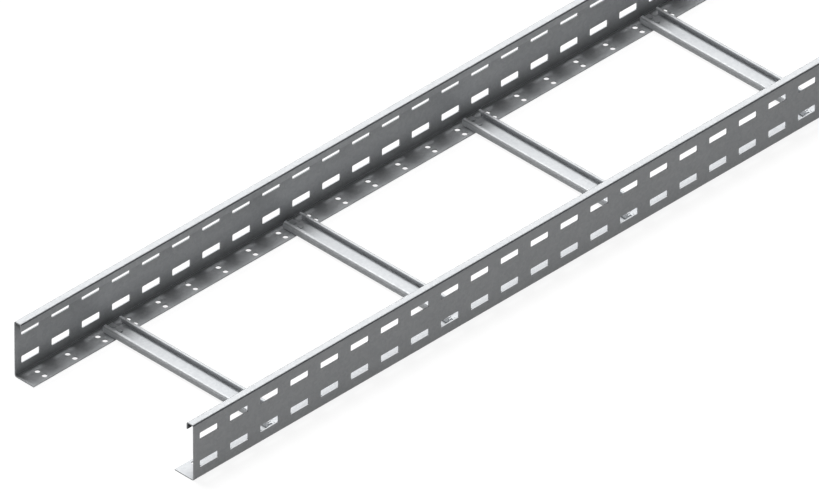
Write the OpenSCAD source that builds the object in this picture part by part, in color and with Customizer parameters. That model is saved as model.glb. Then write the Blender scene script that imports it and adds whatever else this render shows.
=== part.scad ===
// Cable ladder section: two roll-formed side rails with perforated webs, and lipped channel rungs
// clinched on the rails' inward bottom flanges. X runs along the ladder, Y across it, Z up.
// The origin is at the middle of the footprint, on the surface that the flanges rest on.

/* [Ladder] */
// Length of the section
ladder_len = 3000; // [900:300:3000]
// Width over the outer faces of both side rails
ladder_w = 300; // [200:50:600]
// Distance from one rung's centre to the next, and twice the distance from an end to its first rung
rung_pitch = 300; // [300:300:600]

/* [Side rail] */
// Height of a side rail
rail_h = 80; // [60:5:110]
// Thickness of the side rail's sheet
rail_t = 1.5; // [1.2:0.1:2]
// Outer radius of the side rail's bends
rail_bend_r = 3; // [2.5:0.1:4]
// Width of the bottom flange, from the rail's outer face
flange_w = 32; // [30:1:40]
// Width of the top lip, from the rail's outer face
lip_w = 12; // [10:0.5:16]
// Depth of the return that hangs from the lip, from the rail's top
return_h = 10; // [8:0.5:14]

/* [Web slots] */
// Distance from one slot's centre to the next, and twice the distance from an end to its first slot
slot_pitch = 50; // [50:25:75]
// Length of a slot
slot_len = 30; // [20:1:36]
// Height of a slot
slot_h = 9.5; // [7:0.5:12]
// Radius of a slot's corners
slot_corner_r = 1.2; // [0.8:0.1:2.5]

/* [Flange holes] */
// Diameter of the flange's round holes, in pairs halfway along the slots
hole_d = 7; // [5:0.5:8]
// Distance from the rail's outer face to a pair's first hole
hole_inset = 13; // [12:0.5:14]
// Distance between the two holes of a pair
hole_gap = 12; // [10:0.5:12]

/* [Rung] */
// Width of a rung over its walls
rung_w = 32; // [28:1:40]
// Height of a rung
rung_h = 10; // [9:0.5:15]
// Thickness of the rung's sheet
rung_t = 1.5; // [1.2:0.1:2]
// Outer radius of the rung's bends
rung_bend_r = 3; // [2.5:0.1:4]
// Width of each of the two lips that turn in at the rung's top
rung_lip_w = 5; // [4:0.5:8]
// Distance from a rail's outer face to the end of the rung's walls and lips
rung_inset = 12; // [10:0.5:14]
// Radius that rounds off the lower corner of a wall's end
rung_corner_r = 5; // [3:0.5:6]
// Width of the tongue that carries on from the rung's bottom, between its walls
tongue_w = 11; // [10:0.5:14]
// Distance from a rail's outer face to the tongue's end
tongue_inset = 6; // [5:0.5:7]

/* [Clinch joints] */
// Diameter of a joint's button, on the inside of the rung
button_d = 6.5; // [6:0.5:8]
// Height of the button over the inside of the rung
button_h = 1.2; // [0.8:0.1:1.6]
// Diameter of the punch that presses the flange up into the rung
punch_d = 4; // [3:0.5:4.5]

/* [Hidden] */
$fn = 48;
SHEET = "#B4B7BA";
CUT_OVER = 1;                                    // how far a cutter reaches past the face that it opens

slot_count = floor(ladder_len / slot_pitch);
rung_count = floor(ladder_len / rung_pitch);
joint_ys = [for (i = [0, 1]) hole_inset + i * hole_gap];
slot_zs = [rail_h / 4, rail_h * 3 / 4];

// A joint's punch presses a cup of the flange's metal up into the rung, under its button
cup_wall = 0.6;
cup_d = punch_d + 2 * cup_wall;
cup_top = rail_t + rung_t + button_h / 2 - cup_wall / 2;

function slot_x(i) = (i + 0.5) * slot_pitch - slot_count * slot_pitch / 2;
function rung_x(i) = (i + 0.5) * rung_pitch - rung_count * rung_pitch / 2;
function two_digits(n) = n < 10 ? str("0", n) : str(n);

RUNGS = [for (i = [1 : rung_count]) str("rung_", two_digits(i))];

// A quarter of a bent sheet's section, from the +X side round to the +Y side of its centre
module bend(r, t) {
    intersection() {
        difference() {
            circle(r);
            circle(r - t);
        }
        square(r + CUT_OVER);
    }
}

// The rail's section: its outer face on the Y axis of this drawing, its flange and lip to the right
module rail_section() {
    r = rail_bend_r;
    t = rail_t;
    translate([0, r]) square([t, rail_h - 2 * r]);
    translate([r, 0]) square([flange_w - r, t]);
    translate([r, rail_h - t]) square([lip_w - 2 * r, t]);
    translate([lip_w - t, rail_h - return_h]) square([t, return_h - r]);
    translate([r, r]) rotate(180) bend(r, t);
    translate([r, rail_h - r]) rotate(90) bend(r, t);
    translate([lip_w - r, rail_h - r]) bend(r, t);
}

// A slot's outline, centred
module slot_outline() {
    r = slot_corner_r;
    square([slot_len, slot_h - 2 * r], center = true);
    square([slot_len - 2 * r, slot_h], center = true);
    for (sx = [-1, 1], sz = [-1, 1])
        translate([sx * (slot_len / 2 - r), sz * (slot_h / 2 - r)]) circle(r);
}

// The left rail, with its outer face at Y = -ladder_w / 2
module side_rail() {
    difference() {
        union() {
            translate([-ladder_len / 2, -ladder_w / 2, 0])
                rotate([90, 0, 90]) linear_extrude(ladder_len) rail_section();
            for (i = [0 : rung_count - 1], y = joint_ys)
                translate([rung_x(i), y - ladder_w / 2, rail_t / 2])
                    cylinder(d = cup_d, h = cup_top - rail_t / 2);
        }
        for (i = [0 : slot_count - 1]) {
            for (z = slot_zs)
                translate([slot_x(i), rail_t + CUT_OVER - ladder_w / 2, z])
                    rotate([90, 0, 0]) linear_extrude(rail_t + 2 * CUT_OVER) slot_outline();
            for (y = joint_ys)
                translate([slot_x(i), y - ladder_w / 2, -CUT_OVER])
                    cylinder(d = hole_d, h = rail_t + 2 * CUT_OVER);
        }
        for (i = [0 : rung_count - 1], y = joint_ys)
            translate([rung_x(i), y - ladder_w / 2, -CUT_OVER])
                cylinder(d = punch_d, h = cup_top - cup_wall + CUT_OVER);
    }
}

module side_rail_left() {
    color(SHEET) side_rail();
}

module side_rail_right() {
    color(SHEET) mirror([0, 1, 0]) side_rail();
}

// The right half of a rung's section, standing on the X axis of this drawing
module half_rung_section() {
    r = rung_bend_r;
    t = rung_t;
    wall_x = rung_w / 2;
    square([wall_x - r, t]);
    translate([wall_x - t, r]) square([t, rung_h - 2 * r]);
    translate([wall_x - rung_lip_w, rung_h - t]) square([rung_lip_w - r, t]);
    translate([wall_x - r, r]) rotate(-90) bend(r, t);
    translate([wall_x - r, rung_h - r]) bend(r, t);
}

// What is cut from one corner of a rung's +Y end, on its +X side: all but the tongue past the wall's
// end, the lower corner of the wall, and the bottom between them. The drawing stands on Z = 0.
module end_corner_cut() {
    wall_end = ladder_w / 2 - rung_inset;
    root_y = wall_end - rung_corner_r;
    side_x = tongue_w / 2;
    past_x = rung_w / 2 + CUT_OVER;
    past_y = rung_inset + CUT_OVER;
    translate([side_x, wall_end, -CUT_OVER])
        cube([past_x - side_x, past_y, rung_h + 2 * CUT_OVER]);
    translate([side_x, root_y, -CUT_OVER])
        cube([rung_w / 2 - rung_bend_r - side_x, rung_corner_r + past_y, rung_t + 2 * CUT_OVER]);
    difference() {
        translate([side_x, root_y, -CUT_OVER])
            cube([past_x - side_x, rung_corner_r + CUT_OVER, rung_corner_r + CUT_OVER]);
        translate([0, root_y, rung_corner_r])
            rotate([0, 90, 0]) cylinder(r = rung_corner_r, h = past_x + CUT_OVER);
    }
}

module rung(i) {
    color(SHEET)
        translate([rung_x(i), 0, rail_t])
            difference() {
                union() {
                    rotate([90, 0, 0]) linear_extrude(ladder_w - 2 * tongue_inset, center = true) {
                        half_rung_section();
                        mirror([1, 0]) half_rung_section();
                    }
                    for (side = [-1, 1], y = joint_ys)
                        translate([0, side * (ladder_w / 2 - y), rung_t / 2])
                            cylinder(d = button_d, h = rung_t / 2 + button_h);
                }
                for (turn_x = [0, 1], turn_y = [0, 1])
                    mirror([turn_x, 0, 0]) mirror([0, turn_y, 0]) end_corner_cut();
                for (side = [-1, 1], y = joint_ys)
                    translate([0, side * (ladder_w / 2 - y), -CUT_OVER])
                        cylinder(d = cup_d, h = cup_top - rail_t + CUT_OVER);
            }
}

side_rail_left();
side_rail_right();
for (i = [0 : rung_count - 1]) {
    rung(i);
}
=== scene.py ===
"""A straight section of cable ladder in pre-galvanised steel sheet, on a pale studio floor."""
import math

import bpy
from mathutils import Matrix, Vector


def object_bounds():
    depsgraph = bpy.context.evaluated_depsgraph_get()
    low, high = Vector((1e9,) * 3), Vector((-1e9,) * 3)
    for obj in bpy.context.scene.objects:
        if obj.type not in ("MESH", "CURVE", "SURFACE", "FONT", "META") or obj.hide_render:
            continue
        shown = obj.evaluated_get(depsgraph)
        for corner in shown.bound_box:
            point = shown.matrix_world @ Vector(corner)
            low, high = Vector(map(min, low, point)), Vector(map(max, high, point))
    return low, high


MM = 0.001


def linear(hex_colour):
    """The linear RGBA of an sRGB hex colour."""
    channels = [int(hex_colour[i:i + 2], 16) / 255 for i in (1, 3, 5)]
    return [c / 12.92 if c <= 0.04045 else ((c + 0.055) / 1.055) ** 2.4 for c in channels] + [1.0]


def add_node(tree, kind, settings=None, inputs=None):
    """A node of this kind in the tree, with its settings, and its inputs set or linked."""
    node = tree.nodes.new(kind)
    for name, value in (settings or {}).items():
        setattr(node, name, value)
    for name, value in (inputs or {}).items():
        if isinstance(value, bpy.types.NodeSocket):
            tree.links.new(value, node.inputs[name])
        else:
            node.inputs[name].default_value = value
    return node


def new_material(name):
    """An empty node material, and its tree."""
    material = bpy.data.materials.new(name)
    material.use_nodes = True
    material.node_tree.nodes.clear()
    return material, material.node_tree


# Pre-galvanised (Sendzimir) low-carbon steel, roll-formed and punched after the zinc bath
STEEL_DULL = linear("#C2C5C8")         # the greyer spangles
STEEL_BRIGHT = linear("#DADCDE")       # the lighter ones
STEEL_PAINTED_BEND_REFLECTION = linear("#3C3E41")        # painted dark reflection along the bends
STEEL_PAINTED_CORNER_SHADE = linear("#47494C")      # painted shade in inside corners
STEEL_METALLIC = 0.1                   # a zinc skin this dull scatters most light, with a faint sheen
STEEL_ROUGHNESS = (0.42, 0.56)
SPANGLE_MM = 3.5                       # real ones are about 1 mm: drawn this coarse so that they show
CLOUD_MM = 55
MILL_LINE_MM = (400, 3)                # length along the sheet, and distance from one to the next
SPANGLE_SHARE = 0.4
CLOUD_SHARE = 0.35
MILL_LINE_SHARE = 0.25
RELIEF_MM = 0.02                       # height of the spangles' edges
RELIEF_STRENGTH = 0.5
# How dark the painted reflection along the bends is, by how far the surface faces up or down: 0 for a
# wall, 1 for a floor
PAINTED_BEND_CURVE = ((0.3, 0.0), (0.6, 1.0), (0.82, 1.0), (0.97, 0.0))
# How open a place is where the painted corner shade is at its full strength, and where it ends
SHADE_OPENNESS = (0.35, 0.95)


def mix(tree, a, b, factor):
    """Colours a and b mixed by the factor."""
    return add_node(tree, "ShaderNodeMix", {"data_type": "RGBA"}, {0: factor, 6: a, 7: b}).outputs[2]


def galvanised_steel(name, corner_shade_mm, bend_reflection_share, corner_shade_share):
    """Zinc-coated sheet: the eye sees a matt light grey with faint spangles and fine lines along the
    rolling direction, with a painted dark reflection along each bend and painted shade in inside
    corners. The painted corner shade reaches corner_shade_mm out of a corner, and the two shares say
    how strong the painted bend reflection and the painted corner shade are."""
    material, tree = new_material(name)
    place = add_node(tree, "ShaderNodeTexCoord").outputs["Object"]
    spangle = add_node(tree, "ShaderNodeTexVoronoi", inputs={
        "Vector": place, "Scale": 1 / (SPANGLE_MM * MM)})
    spangle_tone = add_node(tree, "ShaderNodeSeparateColor", inputs={"Color": spangle.outputs["Color"]})
    clouds = add_node(tree, "ShaderNodeTexNoise", inputs={
        "Vector": place, "Scale": 1 / (CLOUD_MM * MM), "Detail": 3})
    length, spacing = MILL_LINE_MM
    along = add_node(tree, "ShaderNodeMapping", inputs={
        "Vector": place, "Scale": (spacing / length, 1, 1)})
    mill_lines = add_node(tree, "ShaderNodeTexNoise", inputs={
        "Vector": along.outputs["Vector"], "Scale": 1 / (spacing * MM), "Detail": 2})
    tone = 0
    for pattern, share in ((spangle_tone.outputs["Red"], SPANGLE_SHARE),
                           (clouds.outputs["Fac"], CLOUD_SHARE),
                           (mill_lines.outputs["Fac"], MILL_LINE_SHARE)):
        tone = add_node(tree, "ShaderNodeMath", {"operation": "MULTIPLY_ADD"},
                        {0: pattern, 1: share, 2: tone}).outputs["Value"]
    zinc = mix(tree, STEEL_DULL, STEEL_BRIGHT, tone)

    # Painted dark reflection: a bend is where the surface faces halfway between up or down and a side
    normal = add_node(tree, "ShaderNodeNewGeometry").outputs["Normal"]
    facing = add_node(tree, "ShaderNodeSeparateXYZ", inputs={"Vector": normal}).outputs["Z"]
    flatness = add_node(tree, "ShaderNodeMath", {"operation": "ABSOLUTE"}, {0: facing})
    bend = add_node(tree, "ShaderNodeFloatCurve", inputs={"Value": flatness.outputs["Value"]})
    curve = bend.mapping.curves[0]
    for flat, dark in PAINTED_BEND_CURVE:
        curve.points.new(flat, dark)
    curve.points[-1].location = (1.0, 0.0)
    bend.mapping.update()
    bend_reflection_amount = add_node(tree, "ShaderNodeMath", {"operation": "MULTIPLY"},
                         {0: bend.outputs["Value"], 1: bend_reflection_share}).outputs["Value"]
    zinc = mix(tree, zinc, STEEL_PAINTED_BEND_REFLECTION, bend_reflection_amount)

    # Painted shade in inside corners: darker where ambient occlusion finds the place closed in
    corner = add_node(tree, "ShaderNodeAmbientOcclusion", {"samples": 8, "only_local": True},
                      {"Distance": corner_shade_mm * MM})
    closed, open_air = SHADE_OPENNESS
    painted_shade_amount = add_node(tree, "ShaderNodeMapRange", inputs={
        "Value": corner.outputs["AO"], "From Min": closed, "From Max": open_air,
        "To Min": corner_shade_share, "To Max": 0.0})
    zinc = mix(tree, zinc, STEEL_PAINTED_CORNER_SHADE, painted_shade_amount.outputs["Result"])

    smooth, rough = STEEL_ROUGHNESS
    roughness = add_node(tree, "ShaderNodeMapRange", inputs={
        "Value": tone, "To Min": rough, "To Max": smooth})
    relief = add_node(tree, "ShaderNodeBump", inputs={
        "Height": tone, "Strength": RELIEF_STRENGTH, "Distance": RELIEF_MM * MM})
    shader = add_node(tree, "ShaderNodeBsdfPrincipled", inputs={
        "Base Color": zinc, "Metallic": STEEL_METALLIC, "Roughness": roughness.outputs["Result"],
        "Normal": relief.outputs["Normal"]})
    add_node(tree, "ShaderNodeOutputMaterial", inputs={"Surface": shader.outputs["BSDF"]})
    return material


def seen_directly(tree):
    """1 for what the camera, a reflection or a transmitted ray sees, and 0 for light that bounces."""
    path = add_node(tree, "ShaderNodeLightPath")
    seen = path.outputs["Is Camera Ray"]
    for name in ("Is Glossy Ray", "Is Transmission Ray"):
        either = add_node(tree, "ShaderNodeMath", {"operation": "MAXIMUM"},
                          {0: seen, 1: path.outputs[name]})
        seen = either.outputs["Value"]
    return seen


# The floor and its light. The glow is what makes the floor white to the eye, and the grey paint on
# it takes the section's shadow and throws little light back up.
FLOOR_PAINT = linear("#6C6C6C")
FLOOR_GLOW = 0.9
FLOOR_REACH = 60                       # metres from the section's middle to the floor's edges
FLOOR_GAP_MM = 0.3                     # keeps the floor out of the flanges' undersides
WHITE = linear("#FFFFFF")
AMBIENT = 0.12                         # the room's own light, from all round
LAMPS = (
    # name, direction to the lamp, strength, degrees that it spans
    ("overhead_softbox", (0.08, 0.34, 0.94), 2.75, 24),
    ("back_softbox", (0.1, 0.75, 0.62), 0.9, 40),
    ("left_softbox", (-0.9, 0.1, 0.42), 0.2, 50),
)


def floor_material():
    """Matt paint that also glows for what sees it directly, on the upper side only."""
    material, tree = new_material("studio_floor")
    glow_strength = add_node(tree, "ShaderNodeMath", {"operation": "MULTIPLY"},
                             {0: seen_directly(tree), 1: FLOOR_GLOW})
    glow = add_node(tree, "ShaderNodeEmission", inputs={
        "Color": WHITE, "Strength": glow_strength.outputs["Value"]})
    matt = add_node(tree, "ShaderNodeBsdfDiffuse", inputs={"Color": FLOOR_PAINT})
    paint = add_node(tree, "ShaderNodeAddShader", inputs={
        0: glow.outputs["Emission"], 1: matt.outputs["BSDF"]})
    # The floor has no underside, so the section also shows from below
    below = add_node(tree, "ShaderNodeNewGeometry").outputs["Backfacing"]
    nothing = add_node(tree, "ShaderNodeBsdfTransparent").outputs["BSDF"]
    one_sided = add_node(tree, "ShaderNodeMixShader", inputs={
        0: below, 1: paint.outputs["Shader"], 2: nothing})
    add_node(tree, "ShaderNodeOutputMaterial", inputs={"Surface": one_sided.outputs["Shader"]})
    return material


def studio_floor(box):
    """A wide pale floor under the section."""
    low, high = box
    middle = (Vector(low) + Vector(high)) / 2
    level = low[2] - FLOOR_GAP_MM * MM
    corners = [(middle.x + side_x * FLOOR_REACH, middle.y + side_y * FLOOR_REACH, level)
               for side_x, side_y in ((-1, -1), (1, -1), (1, 1), (-1, 1))]
    mesh = bpy.data.meshes.new("studio_floor")
    mesh.from_pydata(corners, [], [(0, 1, 2, 3)])
    mesh.materials.append(floor_material())
    floor = bpy.data.objects.new("studio_floor", mesh)
    bpy.context.scene.collection.objects.link(floor)


def studio_lamps():
    """Wide soft lamps from above, from behind and from the left end."""
    for name, towards, strength, span in LAMPS:
        lamp = bpy.data.lights.new(name, "SUN")
        lamp.energy = strength
        lamp.angle = math.radians(span)
        seat = bpy.data.objects.new(name, lamp)
        seat.rotation_euler = Vector(towards).to_track_quat("Z", "Y").to_euler()
        bpy.context.scene.collection.objects.link(seat)


def studio_world():
    """A white room that sheds only a little light of its own."""
    world = bpy.data.worlds.new("studio")
    bpy.context.scene.world = world
    world.use_nodes = True
    tree = world.node_tree
    tree.nodes.clear()
    strength = add_node(tree, "ShaderNodeMapRange", inputs={
        "Value": seen_directly(tree), "To Min": AMBIENT, "To Max": 1.0})
    glow = add_node(tree, "ShaderNodeBackground", inputs={
        "Color": WHITE, "Strength": strength.outputs["Result"]})
    add_node(tree, "ShaderNodeOutputWorld", inputs={"Surface": glow.outputs["Background"]})


# The camera: so long a lens from so far off that parallel edges stay all but parallel. The shallow
# sensor makes the 3 m section fill more of the frame in other views.
CAMERA_LENS_MM = 1020
CAMERA_SENSOR_MM = (36, 13.4)
CAMERA_DISTANCE = 44.47
CAMERA_REACH = 100
CAMERA_DIRECTION = Vector((1, 1, -1)).normalized()
CAMERA_TARGET = Vector((0.5086, 0.1511, 0.0067))   # from the section's lowest left front corner


def isometric_camera(box):
    """The camera, at the isometric angle, on the first metre of the section."""
    camera = bpy.data.cameras.new("camera")
    camera.sensor_fit = "VERTICAL"
    camera.sensor_width, camera.sensor_height = CAMERA_SENSOR_MM
    camera.lens = CAMERA_LENS_MM
    camera.clip_end = CAMERA_REACH
    seat = bpy.data.objects.new("camera", camera)
    seat.location = Vector(box[0]) + CAMERA_TARGET - CAMERA_DIRECTION * CAMERA_DISTANCE
    seat.rotation_euler = CAMERA_DIRECTION.to_track_quat("-Z", "Y").to_euler()
    bpy.context.scene.collection.objects.link(seat)
    bpy.context.scene.camera = seat


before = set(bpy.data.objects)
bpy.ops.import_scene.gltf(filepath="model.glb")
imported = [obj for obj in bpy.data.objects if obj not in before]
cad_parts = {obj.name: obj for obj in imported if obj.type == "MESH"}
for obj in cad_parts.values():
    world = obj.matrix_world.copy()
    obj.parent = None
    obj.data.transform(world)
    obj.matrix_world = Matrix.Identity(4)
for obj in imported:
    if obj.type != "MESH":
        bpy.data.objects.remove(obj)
cad_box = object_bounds()
isometric_camera(cad_box)

# The rails get a stronger painted bend reflection and painted corner shade than the rungs
rail_steel = galvanised_steel("galvanised_steel_rails", corner_shade_mm=34, bend_reflection_share=1, corner_shade_share=1)
rung_steel = galvanised_steel("galvanised_steel_rungs", corner_shade_mm=6, bend_reflection_share=0.45, corner_shade_share=0.5)
for name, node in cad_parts.items():
    for slot in node.material_slots:
        slot.material = rung_steel if name.startswith("rung") else rail_steel
studio_floor(cad_box)
studio_lamps()
studio_world()
bpy.context.scene.view_settings.view_transform = "Standard"
